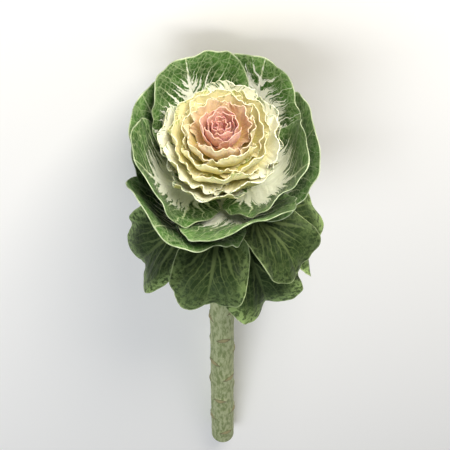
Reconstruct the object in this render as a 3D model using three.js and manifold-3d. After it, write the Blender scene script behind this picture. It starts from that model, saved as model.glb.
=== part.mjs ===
// A cut stem of ornamental kale lying on a flat surface: a woody stem with leaf scars,
// loose lower leaves, a cup of rounded green leaves and, inside it, marbled, cream and
// pink leaves packed like a rose.
//
// The plant is built upright, in millimetres, with its stem along +Z and the lowest cup
// leaf near z = 0. The group is then laid down: the head points to -Y and rests on its
// cup leaves, the cut end points to +Y, and z = 0 is the surface under both.
import * as THREE from "three";
import { mergeVertices } from "three/addons/utils/BufferGeometryUtils.js";
import Module from "manifold-3d";

const wasm = await Module();
wasm.setup();

const DEGREE = Math.PI / 180;
const GOLDEN_ANGLE = 137.508 * DEGREE;

// How the plant lies
const LEAN = 7.01 * DEGREE; // slope of the stem, from its cut end up to the head
const ROLL = 85 * DEGREE; // turn of the whole plant about its stem
const AHEAD = -172.7; // shift along Y that centres the part on its origin
const ASIDE = 2.01; // shift along X that centres the part on its origin

// Stem
const STEM_LENGTH = 430; // from the cut end to the base of the head
const STEM_TOP = 27; // height inside the head where the leaf-bearing tip takes over
const CUT_RADIUS = 9.6;
const NECK_RADIUS = 8.4;
const STEM_SWAY = 5; // how far the stem bows to one side
const STEM_SIDES = 16;
const STEM_RINGS = 10;
const SCAR_SPACING = 14.7;
const SCAR_FIRST = 38; // below the head
const SCAR_HALF_WIDTH = 5;
const SCAR_HALF_HEIGHT = 2.4;
const SCAR_RELIEF = 1.1;

// Leaves
const GAP = 0.3; // clearance between neighbouring solids
const SINK = 2; // how deep a fused leaf is rooted in its core
const BLADE_WAIST = 0.52; // where the blade is widest, as a share of its length
const SQUARENESS = 0.85; // 1 is an oval blade, less has broader shoulders
const NOTCH_WIDTH = 0.09; // of the dent where the midrib meets the edge
const RIB_HALF_WIDTH = 3;

// Unevenness of the head. Its open side faces away from the surface it lies on.
const OPEN_SIDE = 5 * DEGREE; // azimuth in the plant's frame
const OVALNESS = 0.035; // share of the radius by which the open side and its opposite stand out
const LOBING = 0.02;
const RIM_ROLL = 0.2; // share of the radius by which the open side's rims fall outwards
const RIM_LIFT = 2.5; // wave of the rims' height
const TILT = 5; // drop of the rims on the open side, and rise on the other
const RUFFLING = 0.045; // share of the radius by which free rims wave in and out
const RUFFLE_LIFT = 3; // and up and down

const lerp = THREE.MathUtils.lerp;

// Whole numbers in a row.
function run(first, count) {
  return Array.from({ length: count }, (_, index) => first + index);
}

// A sine or cosine pushed outwards, so that an oval outline gets broad shoulders.
function squared(value) {
  return Math.sign(value) * Math.abs(value) ** SQUARENESS;
}

// The same value between 0 and 1 for the same seed.
function draw(seed) {
  const v = Math.sin(seed * 12.9898 + 4.1414) * 43758.5453;
  return v - Math.floor(v);
}

// The leaves of the head, from the outermost tier inwards. A leaf's order is its place in the
// spiral in which the plant grew them, one golden angle after another.
// A pair gives a tier's first and last leaf, and the leaves between are spaced evenly:
//   root and top: heights of the leaf's root and tip; rim: the tip's distance from the axis
//   arch: the midrib's two handles, each a reach as a share of rim and a rise above the root
//   curl: how far the edge rolls outwards
// One value holds for the whole tier:
//   rib: how far the midrib stands out under the leaf; open: how much wider than its ring it opens
//   fold: slope at which the leaf's halves rise from its midrib
//   sweep: degrees that the outline runs each side of the tip; sway: radians it may bend sideways
//   wave and waves: depth and number of the edge's waves; notch: dent at the tip, as a share
//   fringe: depth of the edge's teeth, as a share; columns and rows: how finely it is faceted
const TIERS = {
  lower: {
    orders: [-6, -5, -3, -2, 0, 3], root: [-44, -12], rim: [54, 66], top: [-94, -32],
    arch: [[0.4, 0.4], [8, 6], [1, 0.92], [8, 14]], halfWidth: [28, 22], curl: [0, 0],
    stalk: 20, stalkHalf: 4.4, rib: 3, thickness: 1.1, open: 1.4, fold: 0.35, sweep: 165, sway: 0.2,
    wave: 3, waves: 4.2, notch: 0.04, fringe: 0, columns: 14, rows: 5,
  },
  cup: {
    orders: run(4, 9), root: [-8, 18], rim: [59, 49], top: [50, 76],
    arch: [[0.72, 0.72], [2, 2], [0.97, 1.02], [24, 24]], halfWidth: [43, 38], curl: [8, 4],
    stalk: 6, stalkHalf: 4.4, rib: 3, thickness: 1.1, open: 1, fold: 0, sweep: 160, sway: 0,
    wave: 1.4, waves: 4.6, notch: 0.05, fringe: 0, columns: 14, rows: 5,
  },
  marbled: {
    orders: run(13, 7), root: [30, 38], rim: [38, 34.8], top: [60, 67],
    arch: [[0.75, 0.75], [2, 2], [0.98, 1.04], [17, 17]], halfWidth: [28, 25], curl: [2, 1.5],
    stalk: 3, stalkHalf: 3.4, rib: 1.8, thickness: 1, open: 1, fold: 0, sweep: 155, sway: 0,
    wave: 1.2, waves: 6.5, notch: 0.05, fringe: 0.03, columns: 12, rows: 3,
  },
  cream: {
    orders: run(20, 14), root: [42, 51.6], rim: [32.8, 15.4], top: [66, 77.5],
    arch: [[0.8, 0.8], [2, 2], [1.04, 1.1], [12, 12]], halfWidth: [27, 16], curl: [1, 1],
    stalk: 3, stalkHalf: 2.6, rib: 0.9, thickness: 0.9, open: 1, fold: 0, sweep: 152, sway: 0,
    wave: 1, waves: 7.5, notch: 0.03, fringe: 0.05, columns: 10, rows: 2,
  },
  heart: {
    orders: run(34, 13), root: [54.8, 60.5], rim: [12.4, 2.6], top: [78.5, 77.5],
    arch: [[0.85, 0.9], [2, 2], [1.08, 1.15], [14, 10]], halfWidth: [12.5, 3.6], curl: [0.3, 0.3],
    stalk: 1.5, stalkHalf: 1.4, rib: 0.3, thickness: 0.8, open: 1, fold: 0, sweep: 152, sway: 0,
    wave: 0.5, waves: 6, notch: 0, fringe: 0.05, columns: 6, rows: 2,
  },
};

// The stem's radius and its sideways bow at a height.
function stemRadius(z) {
  return lerp(CUT_RADIUS, NECK_RADIUS, (z + STEM_LENGTH) / (STEM_LENGTH + STEM_TOP));
}
function stemSway(z) {
  const below = Math.max(0, -z) / STEM_LENGTH;
  return STEM_SWAY * Math.sin(below * Math.PI) * below;
}

// The measures of one leaf of a tier, with its midrib's path from root to rim.
function leafOf(tier, index, start) {
  const share = index / (tier.orders.length - 1);
  const between = ([first, last]) => lerp(first, last, share);
  const order = tier.orders[index];
  const rim = between(tier.rim);
  const root = between(tier.root);
  const [innerReach, innerRise, outerReach, outerRise] = tier.arch.map(between);
  const midrib = new THREE.CubicBezierCurve(
    new THREE.Vector2(start, root),
    new THREE.Vector2(Math.max(start, rim * innerReach), root + innerRise),
    new THREE.Vector2(rim * outerReach, root + outerRise),
    new THREE.Vector2(rim, between(tier.top)),
  );
  return {
    ...tier,
    midrib,
    length: midrib.getLength(),
    halfWidth: between(tier.halfWidth),
    curl: between(tier.curl),
    azimuth: order * GOLDEN_ANGLE,
    phase: draw(order) * 2 * Math.PI,
    bend: tier.sway * (2 * draw(order + 0.5) - 1),
  };
}

// Where a point of the leaf's grid lies on the leaf laid flat. across runs from -1 to 1 and is
// 0 on the midrib; along runs from -1 to 0 on the stalk and from 0 to 1 over the blade.
function flatPoint(leaf, across, along) {
  if (along <= 0) return { x: across * leaf.stalkHalf, y: leaf.stalk * (1 + along) };
  const turn = across * leaf.sweep * DEGREE;
  const waist = lerp(leaf.stalk, leaf.length, BLADE_WAIST);
  const reach = Math.cos(turn) > 0 ? leaf.length - waist : waist - leaf.stalk;
  const dent = leaf.notch * Math.exp(-((across / NOTCH_WIDTH) ** 2));
  const ragged = 1 - dent - leaf.fringe * (0.5 - 0.5 * Math.cos(across * leaf.columns * Math.PI));
  return {
    x: lerp(across * leaf.stalkHalf, leaf.halfWidth * ragged * squared(Math.sin(turn)), along),
    y: lerp(leaf.stalk, waist + reach * ragged * squared(Math.cos(turn)), along),
  };
}

// A point of the leaf in the plant's frame, lifted off its middle surface towards the underside.
function leafPoint(leaf, across, along, lift) {
  const { x, y } = flatPoint(leaf, across, along);
  const share = THREE.MathUtils.clamp(y / leaf.length, 0, 1);
  const path = leaf.midrib.getPointAt(share);
  const tangent = leaf.midrib.getTangentAt(share);
  const blade = Math.max(0, along);
  const ripple = leaf.wave * blade ** 3 * Math.sin(across * leaf.waves * Math.PI + leaf.phase);
  const off = lift + ripple + leaf.curl * share * blade ** 5 - leaf.fold * Math.abs(x) * blade;
  const wrap = path.x * lerp(1, leaf.open, share);
  const angle = x / wrap + leaf.bend * share ** 2;
  const radius = wrap + off * tangent.y;
  const point = new THREE.Vector3(
    path.x - wrap + radius * Math.cos(angle),
    radius * Math.sin(angle),
    path.y - off * tangent.x,
  );
  return unevened(point.applyAxisAngle(new THREE.Vector3(0, 0, 1), leaf.azimuth));
}

// The head's uneven shape, one smooth bend for all its leaves, so that none crosses another.
function unevened(point) {
  const radius = Math.hypot(point.x, point.y);
  const azimuth = Math.atan2(point.y, point.x);
  const open = Math.cos(azimuth - OPEN_SIDE);
  const outer = THREE.MathUtils.smoothstep(radius, 12, 55);
  const high = THREE.MathUtils.smoothstep(point.z, 20, 75);
  const rolled = THREE.MathUtils.smoothstep(radius, 34, 64) * high * Math.max(0, open) ** 4;
  const free = high * THREE.MathUtils.smoothstep(open, -0.9, 0.2);
  const oval = OVALNESS * (2 * open ** 2 - 1) + LOBING * Math.cos(3 * azimuth + 2.1);
  const ruffle = RUFFLING * free * Math.cos(5 * azimuth + 0.9);
  const grow = 1 + outer * (oval + ruffle) + RIM_ROLL * rolled;
  const wave = RIM_LIFT * Math.sin(3 * azimuth + 0.5) + RUFFLE_LIFT * free * Math.sin(4 * azimuth + 1);
  const lift = outer * (wave - TILT * high * open);
  return new THREE.Vector3(point.x * grow, point.y * grow, point.z + lift);
}

// How far the underside stands off the middle surface: half the blade and the midrib on it.
function underside(leaf, across, along) {
  const { x, y } = flatPoint(leaf, across, along);
  const rib = leaf.rib * (1 - (0.9 * y) / leaf.length) * Math.exp(-((x / RIB_HALF_WIDTH) ** 2));
  return leaf.thickness / 2 + Math.max(0, rib);
}

// One leaf as a closed shell: two faces split alike, joined round their edge.
function leafGeometry(leaf) {
  const rows = leaf.rows + 1;
  const points = [];
  for (const face of [1, -1]) {
    for (let j = 0; j <= rows; j++) {
      for (let i = 0; i <= leaf.columns; i++) {
        const across = -1 + (2 * i) / leaf.columns;
        const along = j === 0 ? -1 : (j - 1) / leaf.rows;
        const lift = face > 0 ? underside(leaf, across, along) : -leaf.thickness / 2;
        points.push(...leafPoint(leaf, across, along, lift).toArray());
      }
    }
  }
  const wide = leaf.columns + 1;
  const sheet = wide * (rows + 1);
  const triangles = [];
  const quad = (a, b, c, d) => triangles.push(a, b, c, a, c, d);
  for (let j = 0; j < rows; j++) {
    for (let i = 0; i < leaf.columns; i++) {
      const [a, b, c, d] = [j * wide + i, j * wide + i + 1, (j + 1) * wide + i + 1, (j + 1) * wide + i];
      quad(a, b, c, d);
      triangles.push(sheet + a, sheet + c, sheet + b, sheet + a, sheet + d, sheet + c);
    }
  }
  const edge = [];
  for (let i = 0; i < leaf.columns; i++) edge.push(i);
  for (let j = 0; j < rows; j++) edge.push(j * wide + leaf.columns);
  for (let i = leaf.columns; i > 0; i--) edge.push(rows * wide + i);
  for (let j = rows; j > 0; j--) edge.push(j * wide);
  edge.forEach((a, k) => {
    const b = edge[(k + 1) % edge.length];
    quad(b, a, sheet + a, sheet + b);
  });
  const geometry = new THREE.BufferGeometry();
  geometry.setAttribute("position", new THREE.Float32BufferAttribute(points, 3));
  geometry.setIndex(triangles);
  return geometry;
}

// Geometry to solid and back
function solidOf(geometry) {
  const bare = new THREE.BufferGeometry();
  bare.setAttribute("position", geometry.getAttribute("position"));
  bare.setIndex(geometry.getIndex());
  const merged = mergeVertices(bare, 1e-4);
  return new wasm.Manifold(
    new wasm.Mesh({
      numProp: 3,
      vertProperties: merged.attributes.position.array,
      triVerts: new Uint32Array(merged.index.array),
    }),
  );
}
function geometryOf(solid) {
  const mesh = solid.getMesh();
  const geometry = new THREE.BufferGeometry();
  geometry.setAttribute("position", new THREE.Float32BufferAttribute(mesh.vertProperties, 3));
  geometry.setIndex(new THREE.Uint32BufferAttribute(mesh.triVerts, 1));
  return geometry;
}

// The stem: rings of one radius stacked along its bow, closed by the cut and the tip.
function stemBody() {
  const points = [];
  const triangles = [];
  for (let ring = 0; ring <= STEM_RINGS; ring++) {
    const z = lerp(-STEM_LENGTH, STEM_TOP, ring / STEM_RINGS);
    for (let side = 0; side < STEM_SIDES; side++) {
      const angle = ((side + 0.5) / STEM_SIDES) * 2 * Math.PI;
      const radius = stemRadius(z);
      points.push(stemSway(z) + radius * Math.cos(angle), radius * Math.sin(angle), z);
    }
  }
  for (let ring = 0; ring < STEM_RINGS; ring++) {
    for (let side = 0; side < STEM_SIDES; side++) {
      const next = (side + 1) % STEM_SIDES;
      const [a, b] = [ring * STEM_SIDES + side, ring * STEM_SIDES + next];
      triangles.push(a, b, b + STEM_SIDES, a, b + STEM_SIDES, a + STEM_SIDES);
    }
  }
  const last = STEM_RINGS * STEM_SIDES;
  for (let side = 1; side < STEM_SIDES - 1; side++) {
    triangles.push(0, side + 1, side, last, last + side, last + side + 1);
  }
  const geometry = new THREE.BufferGeometry();
  geometry.setAttribute("position", new THREE.Float32BufferAttribute(points, 3));
  geometry.setIndex(triangles);
  return geometry;
}

// The scars that stripped leaves left, raised in a spiral down the stem.
function stemSolid() {
  let solid = solidOf(stemBody());
  const count = Math.floor((STEM_LENGTH - SCAR_FIRST - SCAR_HALF_HEIGHT * 2) / SCAR_SPACING);
  for (let scar = 0; scar < count; scar++) {
    const z = -SCAR_FIRST - scar * SCAR_SPACING;
    const angle = -(scar + 1) * GOLDEN_ANGLE;
    const pad = new THREE.SphereGeometry(1, 4, 2);
    pad.scale(SCAR_RELIEF * 2, SCAR_HALF_WIDTH, SCAR_HALF_HEIGHT);
    pad.translate(stemRadius(z) - SCAR_RELIEF, 0, 0);
    pad.rotateZ(angle);
    pad.translate(stemSway(z), 0, z);
    solid = solid.add(solidOf(pad));
  }
  return solid;
}

// Shown colours, as in the plant
const PAINT = {
  stem: new THREE.MeshStandardMaterial({ color: 0xa9ad85, roughness: 0.75, metalness: 0 }),
  lower: new THREE.MeshStandardMaterial({ color: 0x35502c, roughness: 0.55, metalness: 0 }),
  cup: new THREE.MeshStandardMaterial({ color: 0x4d7a48, roughness: 0.5, metalness: 0 }),
  marbled: new THREE.MeshStandardMaterial({ color: 0xa9bf85, roughness: 0.55, metalness: 0 }),
  cream: new THREE.MeshStandardMaterial({ color: 0xf0e6ae, roughness: 0.6, metalness: 0 }),
  heart: new THREE.MeshStandardMaterial({ color: 0xe6a59c, roughness: 0.6, metalness: 0 }),
};

const plant = new THREE.Group();
plant.rotation.set(Math.PI / 2 - LEAN, 0, ROLL, "XYZ");
plant.position.set(ASIDE, AHEAD, STEM_LENGTH * Math.sin(LEAN) + CUT_RADIUS * Math.cos(LEAN));
plant.updateMatrixWorld(true);

// What lies under the surface, in the plant's frame. A leaf that presses on it is cut flat.
const GROUND_DEPTH = 60;
const groundGeometry = new THREE.BoxGeometry(400, 1400, GROUND_DEPTH);
groundGeometry.translate(0, 0, -GROUND_DEPTH / 2);
groundGeometry.applyMatrix4(plant.matrixWorld.clone().invert());
const ground = solidOf(groundGeometry);

// The solid's main body alone: hollows that fusing sealed are filled, and scraps are dropped.
function mainBody(solid) {
  return solid.decompose().reduce((a, b) => (b.volume() > a.volume() ? b : a));
}

function addPiece(name, solid, material) {
  const mesh = new THREE.Mesh(geometryOf(mainBody(solid)), material);
  mesh.name = name;
  plant.add(mesh);
}

addPiece("stem", stemSolid(), PAINT.stem);

// The lower and cup leaves stand one by one on the stem.
for (const [name, label] of [["lower", "lower_leaf"], ["cup", "cup_leaf"]]) {
  const tier = TIERS[name];
  tier.orders.forEach((_, index) => {
    const start = stemRadius(0) + 2 * GAP;
    const blade = solidOf(leafGeometry(leafOf(tier, index, start)));
    addPiece(`${label}_${index + 1}`, blade.subtract(ground), PAINT[name]);
  });
}

// The tip of the stem carries the rest, colour by colour, each on its own stretch of core.
function coreSolid(bottom, top, radius, tipRadius) {
  const geometry = new THREE.CylinderGeometry(tipRadius, radius, top - bottom, 12);
  geometry.rotateX(Math.PI / 2);
  geometry.translate(0, 0, (top + bottom) / 2);
  return solidOf(geometry);
}
const CORES = {
  marbled: [STEM_TOP + GAP, 40, 8, 6.6],
  cream: [40 + GAP, 53, 6.6, 4.6],
  heart: [53 + GAP, 66, 4.4, 1.2],
};
for (const [name, [bottom, top, radius, tipRadius]] of Object.entries(CORES)) {
  const tier = TIERS[name];
  let solid = coreSolid(bottom, top, radius, tipRadius);
  tier.orders.forEach((_, index) => {
    solid = solid.add(solidOf(leafGeometry(leafOf(tier, index, tipRadius - SINK))));
  });
  addPiece(`${name}_leaves`, solid, PAINT[name]);
}

const part = new THREE.Group();
part.add(plant);

export default part;
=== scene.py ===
"""The looks of a cut ornamental kale stem that lies on a surface.

Each leaf is a sheet of its own, grown from the same measures as the construction model and
refined with frills, blistered tissue, ribs and the colours of a living leaf. The woody stem
carries the scars of its stripped leaves and a fresh cut. Lengths are in millimetres in the
plant's own frame, whose Z runs up the stem, and in metres in the scene.
"""

import logging
import math
from dataclasses import dataclass
from enum import Enum

import bpy
import numpy as np
from mathutils import Matrix, Vector


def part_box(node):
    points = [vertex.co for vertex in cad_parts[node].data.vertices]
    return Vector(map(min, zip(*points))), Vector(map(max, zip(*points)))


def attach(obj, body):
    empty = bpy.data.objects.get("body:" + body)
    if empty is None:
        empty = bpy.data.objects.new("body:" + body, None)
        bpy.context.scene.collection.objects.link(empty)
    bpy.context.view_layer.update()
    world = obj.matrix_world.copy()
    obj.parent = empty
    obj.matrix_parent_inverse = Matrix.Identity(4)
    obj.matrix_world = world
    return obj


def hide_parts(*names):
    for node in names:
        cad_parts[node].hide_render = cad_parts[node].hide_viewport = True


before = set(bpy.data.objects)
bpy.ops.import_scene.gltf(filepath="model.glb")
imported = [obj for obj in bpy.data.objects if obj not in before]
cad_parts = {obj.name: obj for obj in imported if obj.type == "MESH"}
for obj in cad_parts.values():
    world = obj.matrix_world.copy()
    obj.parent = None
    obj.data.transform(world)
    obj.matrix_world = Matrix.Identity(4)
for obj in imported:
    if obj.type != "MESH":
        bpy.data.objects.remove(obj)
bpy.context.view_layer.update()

Node, Socket, Tree = bpy.types.Node, bpy.types.NodeSocket, bpy.types.NodeTree
Piece, Material = bpy.types.Object, bpy.types.Material

LOG = logging.getLogger("kale")
MM = 0.001
DEGREE = math.pi / 180
GOLDEN_ANGLE = 137.508 * DEGREE
STEM_LENGTH = 430  # from the cut end to the base of the head
CUT_RADIUS = 9.6
GAP = 0.3  # clearance between the stem and the leaves that stand on it
SQUARENESS = 0.85  # 1 is an oval blade, less has broader shoulders
TINY = 1e-6
FAR = 9.0  # stands for nowhere near, where a distance is counted as a share
CREASE = 50 * DEGREE  # edges that turn by more than this stay sharp
WAX_IOR = 1.45  # of the wax on leaves and bark

# The nodes that the finishes use most. A MapRange node's input 0 is what it maps, 1 and 2 are
# the range that this comes in, and 3 and 4 the range it goes to, or 0 to 1 where none is given.
ATTRIBUTE, MATH = "ShaderNodeAttribute", "ShaderNodeMath"
NOISE, MAP_RANGE = "ShaderNodeTexNoise", "ShaderNodeMapRange"
SMOOTH = {"interpolation_type": "SMOOTHSTEP"}

# Sockets of a colour Mix node
FACTOR, COLOUR_A, COLOUR_B, MIXED = 0, 6, 7, 2


def lerp(first: float, last: float, share: float) -> float:
    """The value that lies a share of the way from first to last."""
    return first + (last - first) * share


def smoothstep(values: np.ndarray, low: float, high: float) -> np.ndarray:
    """0 below low, 1 above high, and a smooth rise between them."""
    share = np.clip((values - low) / (high - low), 0, 1)
    return share * share * (3 - 2 * share)


def squared(values: np.ndarray) -> np.ndarray:
    """A sine or cosine pushed outwards, so that an oval outline gets broad shoulders."""
    return np.sign(values) * np.abs(values) ** SQUARENESS


def draw(seed: float) -> float:
    """The same value between 0 and 1 for the same seed."""
    value = math.sin(seed * 12.9898 + 4.1414) * 43758.5453
    return value - math.floor(value)


def wobble(values: np.ndarray, seed: float, waves: int = 5) -> np.ndarray:
    """A smooth uneven wave between about -1 and 1.

    Args:
        values: where to read the wave, in radians of its slowest part.
        seed: sets the phases.
        waves: how many sines are added, each faster and lower than the one before.

    Returns:
        The wave's height at each value.
    """
    total = np.zeros_like(values)
    for pitch in range(1, waves + 1):
        speed = pitch + 0.6 * draw(seed + pitch)
        total += np.sin(values * speed + 2 * math.pi * draw(seed + 10 + pitch)) / pitch ** 0.7
    return total / 2


def colour(code: str) -> tuple[float, float, float, float]:
    """Turns a colour into what a shader takes.

    Args:
        code: the colour as sRGB hex.

    Returns:
        The colour as linear RGBA.
    """
    channels = [int(code[start:start + 2], 16) / 255 for start in (1, 3, 5)]
    linear = [c / 12.92 if c <= 0.04045 else ((c + 0.055) / 1.055) ** 2.4 for c in channels]
    return (*linear, 1.0)


def add_node(tree: Tree, kind: str, inputs: dict | None = None,
             **settings: object) -> Node:
    """Adds a node to a material.

    Args:
        tree: the material's node tree.
        kind: the node's type name.
        inputs: for each input socket, by name or number, a value, another node's output, or
            another node for its first output.
        settings: the node's own settings.

    Returns:
        The new node.
    """
    node = tree.nodes.new(kind)
    for name, value in settings.items():
        setattr(node, name, value)
    for key, value in (inputs or {}).items():
        if isinstance(value, Node):
            value = value.outputs[0]
        if isinstance(value, Socket):
            tree.links.new(value, node.inputs[key])
        else:
            node.inputs[key].default_value = value
    return node


def paint(tree: Tree, ground: object, *coats: tuple) -> Socket:
    """Lays coats of colour over a ground, each over the one before.

    Args:
        tree: the material's node tree.
        ground: the lowest colour, as sRGB hex, a node's output or a node.
        coats: how far each coat covers, and its colour in one of those forms.

    Returns:
        The colour that is seen.
    """
    for cover, coat in coats:
        below, above = (colour(tint) if isinstance(tint, str) else tint for tint in (ground, coat))
        ground = add_node(tree, "ShaderNodeMix", {FACTOR: cover, COLOUR_A: below, COLOUR_B: above},
                          data_type="RGBA").outputs[MIXED]
    return ground


def new_material(name: str) -> Material:
    """Makes an empty node material.

    Args:
        name: what the material is.

    Returns:
        The material, with no nodes.
    """
    material = bpy.data.materials.new(name)
    material.use_nodes = True
    material.node_tree.nodes.clear()
    return material


def deselect_all() -> None:
    """Leaves nothing selected, so that the next operator acts on its own object alone."""
    if bpy.context.object and bpy.context.object.mode != "OBJECT":
        bpy.ops.object.mode_set(mode="OBJECT")
    bpy.ops.object.select_all(action="DESELECT")


def move_vertices(piece: Piece, points: np.ndarray) -> None:
    """Puts each vertex of a mesh at its new place, in metres."""
    piece.data.vertices.foreach_set("co", points.astype(np.float32).ravel())
    piece.data.update()


def vertex_places(piece: Piece) -> np.ndarray:
    """Reads where a mesh's vertices are.

    Args:
        piece: the mesh's object.

    Returns:
        The vertices' places, one row each.
    """
    places = np.empty(len(piece.data.vertices) * 3, np.float32)
    piece.data.vertices.foreach_get("co", places)
    return places.reshape(-1, 3).astype(float)


def write_attribute(piece: Piece, name: str, values: np.ndarray) -> None:
    """Stores values at a mesh's vertices for the materials to read.

    Args:
        piece: the mesh's object.
        name: the name that the materials ask for.
        values: one number, or a row of three, for each vertex.
    """
    kind, key = ("FLOAT", "value") if values.ndim == 1 else ("FLOAT_VECTOR", "vector")
    attribute = piece.data.attributes.new(name, kind, "POINT")
    attribute.data.foreach_set(key, values.astype(np.float32).ravel())


@dataclass(frozen=True)
class Lie:
    """How the plant lies: on its cup leaves and on the cut end of its stem.

    lean is how far the stem slopes down from the head, and roll turns the head's open side up.
    ahead and aside say where the base of the head comes to lie.
    """

    lean: float = 7.01 * DEGREE
    roll: float = 85 * DEGREE
    ahead: float = -172.7
    aside: float = 2.01

    def to_scene(self, points: np.ndarray) -> np.ndarray:
        """Lays the plant down.

        Args:
            points: points of the upright plant, in millimetres.

        Returns:
            The same points in the scene, in metres.
        """
        height = STEM_LENGTH * math.sin(self.lean) + CUT_RADIUS * math.cos(self.lean)
        turn = Matrix.Rotation(math.pi / 2 - self.lean, 3, "X") @ Matrix.Rotation(self.roll, 3, "Z")
        return (points @ np.array(turn).T + np.array((self.aside, self.ahead, height))) * MM


@dataclass(frozen=True)
class Unevenness:
    """One smooth bend of the whole head. Its open side faces away from the surface.

    ovalness, lobing, rim_roll and ruffling are shares of the radius by which the head is drawn
    out, lobed, rolled outwards at its open rims and ruffled. rim_lift, tilt and ruffle_lift
    raise and lower the rims in millimetres.
    """

    open_side: float = 5 * DEGREE
    ovalness: float = 0.035
    lobing: float = 0.02
    rim_roll: float = 0.2
    rim_lift: float = 2.5
    tilt: float = 5
    ruffling: float = 0.045
    ruffle_lift: float = 3

    # Where each part of the bend sets in, and where it has its whole strength
    OUTER_BAND = (12, 55)  # distance from the axis
    HIGH_BAND = (20, 75)  # height
    ROLL_BAND = (34, 64)  # distance from the axis
    FREE_BAND = (-0.9, 0.2)  # cosine of the turn from the open side

    def bend(self, points: np.ndarray) -> np.ndarray:
        """Bends the even head out of its regular shape.

        Args:
            points: points of the even head, in the plant's frame.

        Returns:
            The points where the uneven head has them.
        """
        x, y, z = points.T
        radius = np.hypot(x, y)
        azimuth = np.arctan2(y, x)
        facing = np.cos(azimuth - self.open_side)
        outer = smoothstep(radius, *self.OUTER_BAND)
        high = smoothstep(z, *self.HIGH_BAND)
        rolled = smoothstep(radius, *self.ROLL_BAND) * high * np.maximum(0, facing) ** 4
        free = high * smoothstep(facing, *self.FREE_BAND)
        oval = self.ovalness * (2 * facing ** 2 - 1) + self.lobing * np.cos(3 * azimuth + 2.1)
        ruffle = self.ruffling * free * np.cos(5 * azimuth + 0.9)
        grow = 1 + outer * (oval + ruffle) + self.rim_roll * rolled
        ruffle_wave = self.ruffle_lift * free * np.sin(4 * azimuth + 1)
        wave = self.rim_lift * np.sin(3 * azimuth + 0.5) + ruffle_wave
        lift = outer * (wave - self.tilt * high * facing)
        return np.stack([x * grow, y * grow, z + lift], axis=1)


class Tier(Enum):
    """The tiers of leaves, from the stem to the heart of the rosette."""

    LOWER = "lower_leaf"
    CUP = "cup_leaf"
    MARBLED = "marbled_leaf"
    CREAM = "cream_leaf"
    HEART = "heart_leaf"


@dataclass(frozen=True)
class TierShape:
    """The measures of a tier. A pair gives its first and last leaf, and the rest lie between.

    Most names are those of the construction model, and from unruly on they add what only the
    finer sheet has.

    Attributes:
        orders: the leaves' places in the spiral in which the plant grew them.
        root, top, rim: heights of a leaf's root and tip, and the tip's distance from the axis.
        inner_reach, inner_rise: the midrib's first handle, as a share of rim and as a height
            over the root. outer_reach and outer_rise give its second.
        half_width, stalk_half: half the blade's greatest width, and half the stalk's.
        curl: how far the edge rolls outwards.
        rib: how far the midrib stands out under the leaf.
        sweep: degrees that the outline runs each side of the tip.
        wave, waves: depth and number of the edge's large waves.
        notch: dent at the tip, as a share of the blade.
        start, stalk: distance from the axis at which the leaf begins, and its stalk's length.
        open: how much wider than its ring the leaf opens.
        fold: slope at which the leaf's halves rise from its midrib.
        sway: radians that a leaf may bend sideways.
        unruly: how far a rim may stand off its place in the even row.
        frill, frills: depth and number of the edge's small waves.
        tooth, teeth: depth of the edge's teeth, as a share of the blade, and their number.
        blister: how far the tissue bulges between two side ribs.
        rib_pitch: step from one side rib to the next, as a share of the leaf's length.
        pale: how far up the blade the white tissue reaches, at even steps through the tier.
        flush: how pink a leaf has turned. Below 0 it hasn't.
        columns, rows: how finely the sheet is divided.
    """

    orders: tuple[int, ...]
    root: tuple[float, float]
    rim: tuple[float, float]
    top: tuple[float, float]
    inner_reach: tuple[float, float]
    inner_rise: tuple[float, float]
    outer_reach: tuple[float, float]
    outer_rise: tuple[float, float]
    half_width: tuple[float, float]
    curl: tuple[float, float]
    stalk: float
    stalk_half: float
    rib: float
    thickness: float
    sweep: float
    wave: float
    waves: float
    notch: float
    start: float
    open: float = 1
    fold: float = 0
    sway: float = 0
    unruly: float = 0
    frill: float = 0.8
    frills: float = 11
    tooth: float = 0.02
    teeth: float = 40
    blister: float = 0.5
    rib_pitch: float = 0.14
    edge_thickness: float = 0.5
    pale: tuple[float, ...] = (0, 0)
    flush: tuple[float, float] = (0, 0)
    columns: int = 144
    rows: int = 44


NECK_SURFACE = 8.47  # radius of the stem where the lower tiers stand on it
STEM_SURFACE = NECK_SURFACE + 2 * GAP

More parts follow.
